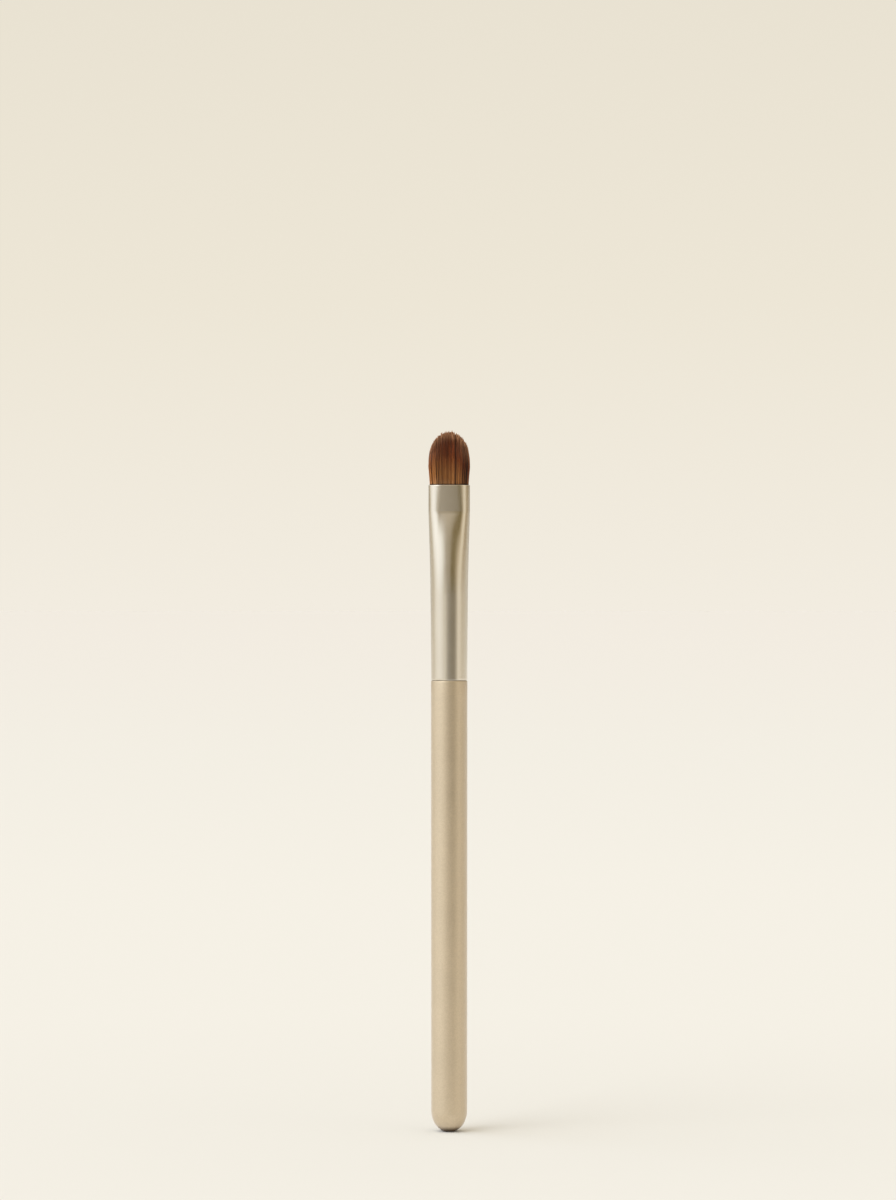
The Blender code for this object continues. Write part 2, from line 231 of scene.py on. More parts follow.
class FerruleSettings(bpy.types.PropertyGroup):
    """Sizes and finish of the drawn and pressed metal tube"""
    length: FloatProperty(
        name="Length", description="From the seam to the mouth",
        default=MOUTH_HEIGHT - SEAM_HEIGHT, min=5 * MM, unit="LENGTH")
    diameter: FloatProperty(
        name="Diameter", description="Across the round end", default=7.75 * MM, min=2 * MM, unit="LENGTH")
    taper: FloatProperty(
        name="Taper", description="How much wider the drawn tube is at the mouth's height, before it is pressed",
        default=0.6 * MM, min=0, precision=5, unit="LENGTH")
    wall: FloatProperty(
        name="Wall", description="Thickness of the tube", default=0.24 * MM, min=0.05 * MM, unit="LENGTH")
    mouth_width: FloatProperty(
        name="Mouth width", description="Across the pressed mouth",
        default=FERRULE_HIGH.x - FERRULE_LOW.x, min=2 * MM, unit="LENGTH")
    mouth_thickness: FloatProperty(
        name="Mouth thickness", description="Through the pressed mouth, without its crowns",
        default=4.34 * MM, min=1 * MM, unit="LENGTH")
    mouth_corner: FloatProperty(
        name="Mouth corner", description="Depth, front to back, of the mouth's rounded corners",
        default=2.0 * MM, min=0.1 * MM, unit="LENGTH")
    mouth_stretch: FloatProperty(
        name="Mouth stretch", description="Width of the mouth's corners for each unit of their depth",
        default=1.38, min=1)
    crease_stretch: FloatProperty(
        name="Crease stretch", description="The same at the crease under the panel, where the flat is widest",
        default=1.1, min=1)
    panel_length: FloatProperty(
        name="Panel length", description="Height of the flat panel below the mouth",
        default=5.8 * MM, min=0.5 * MM, unit="LENGTH")
    round_length: FloatProperty(
        name="Round length", description="Height of the part above the seam that stays round",
        default=18.0 * MM, min=0.5 * MM, unit="LENGTH")
    crown: FloatProperty(
        name="Crown", description="How far the panels' middles stand proud of flat",
        default=0.3 * MM, min=0, precision=5, unit="LENGTH")
    press_ease: FloatProperty(
        name="Press ease", description="How late and how sharply the tube turns flat", default=1.9, min=1)
    sides: IntProperty(name="Sides", description="Faces round the tube", default=160, min=16)
    rings: IntProperty(name="Rings", description="Faces along the tube", default=100, min=10)
    metal: FloatVectorProperty(
        name="Metal", description="Colour of the anodised metal", subtype="COLOR", size=4,
        min=0, max=1, default=linear("d5ccba"))


class TuftSettings(bpy.types.PropertyGroup):
    """Sizes and colours of the filament tuft"""
    length: FloatProperty(
        name="Length", description="From the mouth to the highest tip",
        default=TUFT_HIGH.z - MOUTH_HEIGHT, min=2 * MM, unit="LENGTH")
    width: FloatProperty(
        name="Width", description="Across the tuft at its widest",
        default=TUFT_HIGH.x - TUFT_LOW.x, min=1 * MM, unit="LENGTH")
    thickness: FloatProperty(
        name="Thickness", description="Through the tuft, front to back",
        default=4.95 * MM, min=1 * MM, unit="LENGTH")
    belly_height: FloatProperty(
        name="Belly height", description="Height above the mouth where the tuft is widest",
        default=5.4 * MM, min=1 * MM, unit="LENGTH")
    root_depth: FloatProperty(
        name="Root depth", description="How far the filaments go down inside the mouth",
        default=MOUTH_HEIGHT - TUFT_LOW.z, min=0.1 * MM, unit="LENGTH")
    strand_diameter: FloatProperty(
        name="Strand diameter", description="Across one filament",
        default=0.09 * MM, min=0.02 * MM, precision=5, unit="LENGTH")
    strand_spacing: FloatProperty(
        name="Strand spacing", description="Least distance between two roots",
        default=0.053 * MM, min=0.02 * MM, precision=5, unit="LENGTH")
    seed: IntProperty(name="Seed", description="Picks how the filaments are scattered", default=7)
    # Straw and gold are partly painted light glowing through the filaments near the mouth, and chestnut partly painted
    # shade of the filaments on one another.
    straw: FloatVectorProperty(
        name="Straw", description="Colour at the mouth where the dye hardly reached", subtype="COLOR", size=4,
        min=0, max=1, default=linear("ae845c"))
    gold: FloatVectorProperty(
        name="Gold", description="Colour near the mouth", subtype="COLOR", size=4,
        min=0, max=1, default=linear("885a31"))
    chestnut: FloatVectorProperty(
        name="Chestnut", description="Colour of the dark middle", subtype="COLOR", size=4,
        min=0, max=1, default=linear("653010"))
    tips: FloatVectorProperty(
        name="Tips", description="Colour that light gives the thin tips", subtype="COLOR", size=4,
        min=0, max=1, default=linear("b4835e"))


class StageSettings(bpy.types.PropertyGroup):
    """Floor, lights and camera"""
    floor_radius: FloatProperty(
        name="Floor radius", description="Radius of the round floor", default=40.0, min=1, unit="LENGTH")
    floor_colour: FloatVectorProperty(
        name="Floor colour", description="Colour of the pale board", subtype="COLOR", size=4,
        min=0, max=1, default=linear("e2e2de"))
    sky_level: FloatProperty(name="Sky level", description="Strength of the studio's soft light", default=1.0, min=0)
    key_level: FloatProperty(name="Key level", description="Strength of the front left lamp", default=0.6, min=0)
    key_spread: FloatProperty(
        name="Key spread", description="Angle that the lamp fills, which softens its shadow",
        default=math.radians(38), subtype="ANGLE")
    camera_distance: FloatProperty(
        name="Camera distance", description="From the lens to the brush", default=0.8571, min=0.1, unit="LENGTH")
    camera_height: FloatProperty(
        name="Camera height", description="Height of the level lens above the floor", default=0.1138, unit="LENGTH")
    camera_side: FloatProperty(
        name="Camera side", description="How far the lens stands to the side", default=-0.00026, precision=5,
        unit="LENGTH")
    camera_lens: FloatProperty(name="Lens", description="Focal length in millimetres", default=120.0, min=10)


def lacquer_material(settings):
    """Satin champagne lacquer with fine metal flake, sprayed on a turned and primed beech handle.

    Spraying leaves a faint orange peel, and the flake gives a soft, wide highlight with a slight sparkle.
    """
    material, n, surface = finish("satin_metallic_lacquer_on_turned_beech")
    place = n(COORDINATES).outputs["Object"]
    peel = n(NOISE, {"Vector": place, "Scale": 1 / (0.9 * MM), "Detail": 2.0, "Roughness": 0.5})
    # Real flake is about 0.04 mm; it is drawn 0.22 mm wide, so that it shows.
    flake = n("ShaderNodeTexVoronoi", {"Vector": place, "Scale": 1 / (0.22 * MM)}, feature="F1")
    cloud = n(NOISE, {"Vector": place, "Scale": 1 / (11 * MM), "Detail": 3.0, "Roughness": 0.55})
    sparkle = n(SEPARATE, {0: flake.outputs["Color"]}).outputs["X"]
    shade = n(MAP_RANGE, {"Value": sparkle, "To Min": 0.955, "To Max": 1.045})
    drift = n(MAP_RANGE, {"Value": cloud, "From Min": 0.3, "From Max": 0.7, "To Min": 0.97, "To Max": 1.03})
    both = n(MATH, {0: shade, 1: drift}, operation="MULTIPLY")
    colour = n(VECTOR_MATH, {0: tuple(settings.lacquer)[:3], 1: both}, operation="MULTIPLY")
    # The foot is painted dark, as painted shade for the contact shadow under the dome, and its coat is thinner there.
    height = n(SEPARATE, {0: place}).outputs["Z"]
    above_painted_foot_shade = n(MAP_RANGE, {"Value": height, "From Min": 0.2 * MM, "From Max": 1.5 * MM}, interpolation_type="SMOOTHSTEP")
    colour = n(MIX, {"Factor": above_painted_foot_shade, "A": linear("5c421c")[:3], "B": colour}, data_type="VECTOR")
    rough = n(MAP_RANGE, {"Value": cloud, "From Min": 0.3, "From Max": 0.7, "To Min": 0.38, "To Max": 0.45})
    skin = n("ShaderNodeBump", {"Strength": 0.25, "Distance": 0.02 * MM, "Height": peel})
    grain = n("ShaderNodeBump", {"Strength": 0.12, "Distance": 0.01 * MM, "Height": sparkle, "Normal": skin})
    surface({
        "Base Color": colour, "Metallic": 0.75, "Roughness": rough, "Normal": grain, "Coat Roughness": 0.35,
        "Coat Weight": n(MATH, {0: above_painted_foot_shade, 1: 0.5, 2: 0.3}, operation="MULTIPLY_ADD")})
    return material


def ferrule_material(settings):
    """Aluminium tube, drawn, dulled by fine blasting and anodised pale champagne.

    Drawing leaves faint lines along the tube, and blasting spreads each reflection into a broad soft band.
    """
    material, n, surface = finish("satin_anodised_drawn_aluminium")
    place = n(COORDINATES).outputs["Object"]
    # Draw lines are 0.25 mm apart and 12 mm long.
    lengthwise = n(MAPPING, {"Vector": place, "Scale": (1.0, 1.0, 0.02)})
    lines = n(NOISE, {"Vector": lengthwise, "Scale": 1 / (0.25 * MM), "Detail": 2.0, "Roughness": 0.6})
    # Blasting leaves pits of about 0.02 mm; they are drawn 0.2 mm wide, so that they show.
    pits = n(NOISE, {"Vector": place, "Scale": 1 / (0.2 * MM), "Detail": 1.0})
    cloud = n(NOISE, {"Vector": place, "Scale": 1 / (6 * MM), "Detail": 3.0, "Roughness": 0.5})
    tone = n(MAP_RANGE, {"Value": lines, "From Min": 0.25, "From Max": 0.75, "To Min": 0.975, "To Max": 1.025})
    colour = n(VECTOR_MATH, {0: tuple(settings.metal)[:3], 1: tone}, operation="MULTIPLY")
    rough = n(MAP_RANGE, {"Value": cloud, "From Min": 0.3, "From Max": 0.7, "To Min": 0.2, "To Max": 0.26})
    drawn = n("ShaderNodeBump", {"Strength": 0.15, "Distance": 0.01 * MM, "Height": lines})
    blasted = n("ShaderNodeBump", {"Strength": 0.05, "Distance": 0.01 * MM, "Height": pits, "Normal": drawn})
    surface({"Base Color": colour, "Metallic": 1.0, "Roughness": rough, "Normal": blasted})
    return material


def filament_material(settings):
    """Dyed synthetic filament, extruded smooth, pale at the root and darker above: partly two-tone dye, partly painted
    light and shade.

    Smooth round filaments give each strand its own thin highlight along its length.
    """
    material, n, surface = finish("dyed_synthetic_filament")
    place = n(COORDINATES).outputs["Object"]
    root, strand, streak, rise = (
        n("ShaderNodeAttribute", attribute_name=name).outputs[kind]
        for name, kind in (("root", "Vector"), ("strand", "Fac"), ("streak", "Fac"), ("rise", "Fac")))
    height = n(MATH, {0: n(SEPARATE, {0: place}).outputs["Z"], 1: MOUTH_HEIGHT}, operation="SUBTRACT")
    # Neighbouring filaments took the dye alike, in patches about 1 mm wide and in finer streaks. These are how
    # far the dye's edge moves with a patch, a streak and the narrow sides.
    patch_reach, streak_reach, flank_reach = 0.8 * MM, 0.9 * MM, 2.2 * MM
    patch = n(NOISE, {"Vector": root, "Scale": 1 / (1.0 * MM), "Detail": 2.0, "Roughness": 0.7})
    wander = n(MATH, {0: patch, 1: 2 * patch_reach, 2: -patch_reach}, operation="MULTIPLY_ADD")
    lift = n(MATH, {0: streak, 1: -2 * streak_reach, 2: streak_reach}, operation="MULTIPLY_ADD")
    moved = n(MATH, {0: wander, 1: lift}, operation="ADD")
    # The gold reaches higher on the left than on the right, as painted light from the window at the left, and the dark
    # zone reaches further down at its narrow sides.
    side = n(SEPARATE, {0: root}).outputs["X"]
    dye_edge_with_painted_light_tilt = n(MATH, {0: side, 1: 0.45, 2: moved}, operation="MULTIPLY_ADD")
    rim = n(MATH, {0: n(MATH, {0: side, 1: FLANK}, operation="DIVIDE"), 1: 4.0}, operation="POWER")
    rim = n(MATH, {0: rim, 1: flank_reach, 2: dye_edge_with_painted_light_tilt}, operation="MULTIPLY_ADD")
    level = n(MATH, {0: height, 1: rim}, operation="ADD")
    share = n(MAP_RANGE, {"Value": level, "From Min": -2 * MM, "From Max": settings.length})
    # These zones are partly two-tone dye and partly painted light and shade: the pale root stands for light glowing
    # through the filaments, the dark middle for their shade on one another.
    zones = n(RAMP, {"Fac": share}, stops=(
        (0.0, settings.straw), (0.2, settings.gold), (0.28, settings.gold), (0.6, settings.chestnut),
        (1.0, settings.chestnut)))
    single = n(MAP_RANGE, {"Value": strand, "To Min": 0.6, "To Max": 1.4})
    grouped = n(MAP_RANGE, {"Value": streak, "To Min": 0.3, "To Max": 1.9})
    shade = n(MATH, {0: single, 1: grouped}, operation="MULTIPLY")
    # The tuft is painted lighter on its left side and darker on its right, as painted light from the window at the
    # left.
    painted_side_light = n(MAP_RANGE, {"Value": side, "From Min": -FLANK, "From Max": FLANK, "To Min": 1.35, "To Max": 0.7})
    shade = n(MATH, {0: shade, 1: painted_side_light}, operation="MULTIPLY")
    # The roots are painted darker just above the mouth, as painted shade where the tuft meets the lip.
    painted_mouth_shade = n(MAP_RANGE, {"Value": height, "From Min": 0.1 * MM, "From Max": 0.4 * MM, "To Min": 0.3, "To Max": 1.0})
    shade = n(MATH, {0: shade, 1: painted_mouth_shade}, operation="MULTIPLY")
    colour = n(VECTOR_MATH, {0: zones.outputs["Color"], 1: shade}, operation="MULTIPLY")
    # The tapered tip of each filament lets more and more light through, and looks pale. So do the outer
    # filaments at the narrow sides, where few lie behind one another.
    thin = n(MATH, {0: n(MAP_RANGE, {"Value": rise, "From Min": 0.84, "From Max": 1.0}), 1: 2.0}, operation="POWER")
    edge = n(MAP_RANGE, {
        "Value": n(MATH, {0: side}, operation="ABSOLUTE"), "From Min": 1.0 * MM, "From Max": FLANK, "To Max": 0.4})
    above = n(MAP_RANGE, {"Value": rise, "From Min": 0.55, "From Max": 0.85})
    open_side = n(MATH, {0: edge, 1: above}, operation="MULTIPLY")
    clear = n(MAP_RANGE, {"Value": streak, "To Min": 0.1, "To Max": 1.5})
    tip = n(MATH, {0: thin, 1: clear, 2: open_side}, operation="MULTIPLY_ADD")
    colour = n(MIX, {"Factor": tip, "A": colour, "B": tuple(settings.tips)[:3]}, data_type="VECTOR")
    surface({"Base Color": colour, "Roughness": 0.45, "Specular IOR Level": 0.25})
    return material


def resin_material(name, colour, depth):
    """Cast epoxy resin, cured glossy, with small bubbles and a slight cloudiness."""
    material, n, surface = finish(name)
    place = n(COORDINATES).outputs["Object"]
    cloud = n(NOISE, {"Vector": place, "Scale": 1 / (1.5 * MM), "Detail": 3.0})
    bubble = n("ShaderNodeTexVoronoi", {"Vector": place, "Scale": 1 / (0.4 * MM)}, feature="F1")
    hole = n(MAP_RANGE, {"Value": bubble.outputs["Distance"], "From Min": 0.1, "From Max": 0.25})
    tint = n(MIX, {"Factor": cloud, "A": linear(depth), "B": linear(colour)}, data_type="RGBA")
    dent = n("ShaderNodeBump", {"Strength": 0.4, "Distance": 0.03 * MM, "Height": hole})
    surface({"Base Color": tint, "Normal": dent})
    return material


def thread_material():
    """Waxed cotton thread, twisted from plies, matt with a slight wax shine."""
    material, n, surface = finish("waxed_cotton_thread")
    place = n(COORDINATES).outputs["Object"]
    tilted = n(MAPPING, {"Vector": place, "Rotation": (0.6, 0.6, 0.0)})
    # The plies turn once in about 0.35 mm.
    plies = n("ShaderNodeTexWave", {"Vector": tilted, "Scale": 1 / (0.35 * MM) / math.tau, "Distortion": 1.5})
    tint = n(MIX, {"Factor": plies, "A": linear("b9ab90"), "B": linear("e4dac4")}, data_type="RGBA")
    twist = n("ShaderNodeBump", {"Strength": 0.6, "Distance": 0.05 * MM, "Height": plies})
    surface({"Base Color": tint, "Normal": twist, "Roughness": 0.7})
    return material


def floor_material(settings):
    """Matt painted board, rolled smooth. For the camera it is a little darker under the brush, and painted darker far
    behind it, as painted falloff of light.
    """
    material, n, surface = finish("matt_painted_board")
    place = n(COORDINATES).outputs["Object"]
    far = n(VECTOR_MATH, {0: place}, operation="LENGTH").outputs["Value"]
    share = n(MATH, {0: far, 1: n(MATH, {0: far, 1: 0.5}, operation="ADD")}, operation="DIVIDE")
    # Seen by the camera only: darker near the brush, and painted falloff of light far away.
    sweep = n(RAMP, {"Fac": share}, stops=(
        (0.0, linear("e0e0dc")), (0.1, linear("e0e0dc")), (0.33, settings.floor_colour),
        (0.6, settings.floor_colour), (0.82, linear("e0e0dc")), (1.0, linear("dfddd9"))))
    tooth = n(NOISE, {"Vector": place, "Scale": 1 / (0.6 * MM), "Detail": 2.0})
    tone = n(MAP_RANGE, {"Value": tooth, "To Min": 0.997, "To Max": 1.003})
    colour = n(VECTOR_MATH, {0: sweep.outputs["Color"], 1: tone}, operation="MULTIPLY")
    # The lit table ends in front of the brush: what lies beyond is a dim room, in reflections only.
    outward = n(VECTOR_MATH, {0: place}, operation="NORMALIZE")
    wedge = cone(n, outward, azimuth=17, elevation=0, inner=17, outer=43)
    beyond = n(MAP_RANGE, {"Value": far, "From Min": 0.02, "From Max": 0.55, "To Max": 0.66},
               interpolation_type="SMOOTHSTEP")
    lit = n(MATH, {0: n(MATH, {0: wedge, 1: beyond}, operation="MULTIPLY"), 1: -1.0, 2: 1.0}, operation="MULTIPLY_ADD")
    # In reflections the board is white; the camera sees it toned to the photograph's pale cream.
    board = n(VECTOR_MATH, {0: linear("f0f1f3")[:3], "Scale": lit}, operation="SCALE")
    seen = n("ShaderNodeLightPath").outputs["Is Camera Ray"]
    shown = n(MIX, {"Factor": seen, "A": board, "B": colour}, data_type="VECTOR")
    surface({"Base Color": shown, "Roughness": 0.95, "Specular IOR Level": 0.0})
    return material


def handle_profile(settings):
    """Radius and height of the handle's outline, from the foot's centre to the tenon's top."""
    radius, butt = settings.diameter / 2, settings.butt_diameter / 2
    foot = settings.foot_diameter / 2
    first = math.asin(foot / butt)
    dome_steps, side_steps, shoulder_steps, grooves = 24, 29, 8, 3
    points = [(0, 0), (foot * 0.5, 0)]
    for step in range(dome_steps + 1):
        angle = first + (math.pi / 2 - first) * step / dome_steps
        points.append((butt * math.sin(angle), settings.dome_height * (1 - math.cos(angle) / math.cos(first))))
    shoulder = settings.shoulder_round
    top = settings.length - shoulder
    for step in range(1, side_steps + 1):
        share = step / side_steps
        points.append((butt + (radius - butt) * share, settings.dome_height + (top - settings.dome_height) * share))
    for step in range(1, shoulder_steps + 1):
        angle = math.pi / 2 * step / shoulder_steps
        points.append((radius - shoulder * (1 - math.cos(angle)), top + shoulder * math.sin(angle)))
    tenon, end = settings.tenon_diameter / 2, HANDLE_HIGH.z
    start = settings.length
    points.append((tenon, start))
    lip, bed, depth = 0.6 * MM, 0.4 * MM, 0.45 * MM
    for groove in range(grooves):
        middle = start + (end - start) * (groove + 1) / (grooves + 1)
        for across, deep in ((-lip, 0), (-bed, depth), (bed, depth), (lip, 0)):
            points.append((tenon - deep, middle + across))
    chamfer = 0.6 * MM
    points += [(tenon, end - chamfer), (tenon - chamfer, end), (0, end)]
    return points


def turned(name, profile, sides):
    """A closed solid turned about the Z axis from a profile whose two ends lie on the axis."""
    shape = bmesh.new()
    rings = [ring(shape, radius, height, sides if radius else 1) for radius, height in profile]
    for low, high in zip(rings, rings[1:]):
        for k in range(sides):
            after = (k + 1) % sides
            corners = [low[k % len(low)], low[after % len(low)], high[after % len(high)], high[k % len(high)]]
            shape.faces.new(list(dict.fromkeys(corners)))
    return solid(name, shape)


def pressed_copy(name, node):
    """A copy of a CAD piece, pressed narrower and thinner to lie inside the scene's ferrule."""
    shape = bmesh.new()
    shape.from_mesh(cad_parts[node].data)
    bmesh.ops.remove_doubles(shape, verts=shape.verts, dist=0.001 * MM)
    bmesh.ops.scale(shape, vec=PRESSED_SCALE, verts=shape.verts)
    return solid(name, shape)


def round_share(n):
    """Each point's share of a turn about Z, from 0 on the X axis."""
    place = n(SEPARATE, {0: n("GeometryNodeInputPosition")})
    angle = n(MATH, {0: place.outputs["Y"], 1: place.outputs["X"]}, operation="ARCTAN2")
    return n(MATH, {0: n(MATH, {0: angle, 1: math.tau}, operation="DIVIDE")}, operation="FRACT")


def mouth_outline(n, width, thickness, corner, stretch):
    """The curve of a rectangle with oval corners, and the share of its length by which it starts after the X axis."""
    narrow = n(MATH, {0: width, 1: stretch}, operation="DIVIDE")
    edge = n("GeometryNodeCurvePrimitiveQuadrilateral", {"Width": narrow, "Height": thickness}, mode="RECTANGLE")
    curve = n("GeometryNodeFilletCurve", {"Curve": edge, "Radius": corner, "Count": 24}, mode="POLY")
    curve = n("GeometryNodeTransform", {"Geometry": curve, "Scale": n(COMBINE, {"X": stretch, "Y": 1.0, "Z": 1.0})})
    half = n(MATH, {0: thickness, 1: 0.5, 2: n(MATH, {0: corner, 1: -1.0}, operation="MULTIPLY")},
             operation="MULTIPLY_ADD")
    start = n(MATH, {0: half, 1: n("GeometryNodeCurveLength", {"Curve": curve})}, operation="DIVIDE")
    return curve, start


def outline_place(n, curve, start, share):
    """The outline's point at a share of its length counted from the X axis."""
    shifted = n(MATH, {0: n(MATH, {0: share, 1: start}, operation="SUBTRACT")}, operation="FRACT")
    sample = n("GeometryNodeSampleCurve", {"Curves": curve, "Factor": shifted}, mode="FACTOR", use_all_curves=True)
    return sample.outputs["Position"]


def ferrule_tree(sizes, material):
    """The tube's outer skin: round at the seam, and pressed late and sharply into the mouth's rounded rectangle."""
    tree, n, given, result = shape_tree("pressed_ferrule", sizes)
    tube = n("GeometryNodeMeshCylinder", {
        "Vertices": given["Sides"], "Side Segments": given["Rings"],
        "Radius": n(MATH, {0: given["Diameter"], 1: 0.5}, operation="MULTIPLY"), "Depth": 1.0}, fill_type="NONE")
    place = n(SEPARATE, {0: n("GeometryNodeInputPosition")})
    share = n(MATH, {0: place.outputs["Z"], 1: 0.5}, operation="ADD")
    # A fifth of the rings lie in the panel, so that one ring falls on the crease under it.
    crease = n(MATH, {0: given["Length"], 1: given["Panel Length"]}, operation="SUBTRACT")
    below = n(MAP_RANGE, {"Value": share, "From Max": 0.8, "To Max": crease})
    above = n(MAP_RANGE, {"Value": share, "From Min": 0.8, "To Max": given["Panel Length"]})
    height = n(MATH, {0: below, 1: above}, operation="ADD")
    round_part = n(MAP_RANGE, {
        "Value": height, "From Min": crease, "From Max": given["Round Length"], "To Min": 0.0, "To Max": 1.0})
    kept = n(MATH, {0: 1.0, 1: round_part}, operation="SUBTRACT")
    pressed = n(MATH, {0: kept, 1: given["Press Ease"]}, operation="POWER")
    turn = round_share(n)
    ends = []
    for end in ("Crease Stretch", "Mouth Stretch"):
        curve, start = mouth_outline(
            n, given["Mouth Width"], given["Mouth Thickness"], given["Mouth Corner"], given[end])
        ends.append(outline_place(n, curve, start, turn))
    up = n(MAP_RANGE, {"Value": height, "From Min": crease, "From Max": given["Length"]})
    flat = n(MIX, {"Factor": up, "A": ends[0], "B": ends[1]}, data_type="VECTOR")
    level = n(VECTOR_MATH, {0: n("GeometryNodeInputPosition"), 1: (1.0, 1.0, 0.0)}, operation="MULTIPLY")
    widened = n(MATH, {0: given["Diameter"], 1: given["Taper"]}, operation="ADD")
    widened = n(MATH, {0: widened, 1: given["Diameter"]}, operation="DIVIDE")
    widening = n(MAP_RANGE, {"Value": height, "From Max": given["Length"], "To Min": 1.0, "To Max": widened})
    drawn = n(VECTOR_MATH, {0: level, "Scale": widening}, operation="SCALE")
    blend = n(MIX, {"Factor": pressed, "A": drawn, "B": flat}, data_type="VECTOR")
    # Pressed panels spring back a little, so their middles stand proud.
    side = n(SEPARATE, {0: flat})
    reach = n(MATH, {0: given["Mouth Width"], 1: 0.5}, operation="MULTIPLY")
    across = n(MATH, {0: n(MATH, {0: side.outputs["X"], 1: reach}, operation="DIVIDE"), 1: 2.0}, operation="POWER")
    rise = n(MATH, {0: n(MATH, {0: 1.0, 1: across}, operation="SUBTRACT"), 1: given["Crown"]}, operation="MULTIPLY")
    turned_out = n(MATH, {0: rise, 1: n(MATH, {0: side.outputs["Y"]}, operation="SIGN")}, operation="MULTIPLY")
    sprung = n(COMBINE, {"Y": n(MATH, {0: turned_out, 1: pressed}, operation="MULTIPLY")})
    blend = n(VECTOR_MATH, {0: blend, 1: sprung}, operation="ADD")
    lifted = n(COMBINE, {"Z": n(MATH, {0: height, 1: given["Seam Height"]}, operation="ADD")})
    skin = n("GeometryNodeSetPosition", {
        "Geometry": tube.outputs["Mesh"], "Position": n(VECTOR_MATH, {0: blend, 1: lifted}, operation="ADD")})
    smooth = n("GeometryNodeSetShadeSmooth", {"Geometry": skin})
    whole = n("GeometryNodeRealizeInstances", {"Geometry": smooth})
    coated = n("GeometryNodeSetMaterial", {"Geometry": whole, "Material": material})
    tree.links.new(coated.outputs[0], result.inputs[0])
    return tree


def tuft_tree(sizes, material):
    """Filaments rooted over the mouth, which swell to the belly, lean in above it and end on a dome."""
    tree, n, given, result = shape_tree("filament_tuft", sizes)
    curve = mouth_outline(
        n, given["Root Width"], given["Root Thickness"], given["Root Corner"], given["Root Stretch"])[0]
    face = n("GeometryNodeFillCurve", {0: curve}, mode="NGONS")
    roots = n("GeometryNodeDistributePointsOnFaces", {
        "Mesh": face, "Distance Min": given["Strand Spacing"], "Density Max": 2e9, "Seed": given["Seed"]},
        distribute_method="POISSON")
    position = n("GeometryNodeInputPosition")
    random = n("FunctionNodeRandomValue", {"Seed": given["Seed"]}, data_type="FLOAT")
    stray = n("FunctionNodeRandomValue", {"Min": (-1.0, -1.0, 0.0), "Max": (1.0, 1.0, 1.0), "Seed": 3},
              data_type="FLOAT_VECTOR")
    # Filaments gather into tresses about 0.3 mm wide, each with its own lean.
    tress = n("ShaderNodeTexVoronoi", {"Vector": position, "Scale": 1 / (0.3 * MM)})
    inward = n(VECTOR_MATH, {0: tress.outputs["Position"], 1: position}, operation="SUBTRACT")
    sway = n(SEPARATE, {0: tress.outputs["Color"]}).outputs["Y"]
    # Streaks about 0.2 mm wide take the dye and end alike. They run straight through the tuft's middle, and turn
    # to face outward at its narrow sides.
    place = n(SEPARATE, {0: position})
    outer = n(MATH, {0: n(MATH, {0: place.outputs["X"], 1: FLANK}, operation="DIVIDE"), 1: 4.0}, operation="POWER")
    depth = n(MATH, {0: n(MATH, {0: place.outputs["Y"], 1: outer}, operation="MULTIPLY"), 1: 0.5}, operation="MULTIPLY")
    streak = n(NOISE, {
        "Vector": n(COMBINE, {"X": place.outputs["X"], "Y": depth, "Z": 0.5 * MM}), "Scale": 1 / (0.14 * MM),
        "Detail": 1.0, "Roughness": 0.5})
    streak = n(MAP_RANGE, {"Value": streak, "From Min": 0.35, "From Max": 0.65})
    carried = (
        ("root", "FLOAT_VECTOR", position), ("strand", "FLOAT", random), ("stray", "FLOAT_VECTOR", stray),
        ("gather", "FLOAT_VECTOR", inward), ("streak", "FLOAT", streak), ("sway", "FLOAT", sway))
    held = roots.outputs["Points"]
    for label, kind, value in carried:
        held = n("GeometryNodeStoreNamedAttribute", {"Geometry": held, "Name": label, "Value": value},
                 data_type=kind, domain="POINT")
    line = n("GeometryNodeCurvePrimitiveLine", {"Start": (0.0, 0.0, 0.0), "End": (0.0, 0.0, 1.0)})
    line = n("GeometryNodeResampleCurve", {"Curve": line, "Count": 6}, mode="COUNT")
    line = n("GeometryNodeStoreNamedAttribute", {
        "Geometry": line, "Name": "rise", "Value": n("GeometryNodeSplineParameter").outputs["Factor"]},
        data_type="FLOAT", domain="POINT")
    strands = n("GeometryNodeRealizeInstances", {
        "Geometry": n("GeometryNodeInstanceOnPoints", {"Points": held, "Instance": line})})

    root, strand, stray, gather, streak, sway = (
        n("GeometryNodeInputNamedAttribute", {"Name": label}, data_type=kind) for label, kind, value in carried)
    rise = n("GeometryNodeInputNamedAttribute", {"Name": "rise"}, data_type="FLOAT")
    # A tress leans as one, and its filaments stray a little from it. All lean more front to back than sideways.
    shared = 0.7
    alone = n(MATH, {0: n(SEPARATE, {0: stray}).outputs["Z"], 1: 1 - shared}, operation="MULTIPLY")
    lean = n(MATH, {0: sway, 1: shared, 2: alone}, operation="MULTIPLY_ADD")
    lean = n(COMBINE, {
        "X": n(MAP_RANGE, {"Value": lean, "To Min": 0.92, "To Max": 0.87}),
        "Y": n(MAP_RANGE, {"Value": lean, "To Min": 0.42, "To Max": 0.12})})
    spread = n(COMBINE, {
        "X": n(MATH, {0: given["Width"], 1: given["Root Width"]}, operation="DIVIDE"),
        "Y": n(MATH, {0: given["Thickness"], 1: given["Root Thickness"]}, operation="DIVIDE")})
    belly = n(VECTOR_MATH, {0: root, 1: spread}, operation="MULTIPLY")
    # A filament moves about a third of the way to its tress's middle, and strays up to 0.04 mm by itself.
    gather = n(VECTOR_MATH, {0: gather, "Scale": 0.35}, operation="SCALE")
    apart = n(VECTOR_MATH, {0: stray, "Scale": 0.04 * MM}, operation="SCALE")
    shift = n(VECTOR_MATH, {0: gather, 1: apart}, operation="ADD")
    shift = n(VECTOR_MATH, {0: shift, 1: (1.0, 1.0, 0.0)}, operation="MULTIPLY")
    tip = n(VECTOR_MATH, {0: belly, 1: lean, 2: shift}, operation="MULTIPLY_ADD")
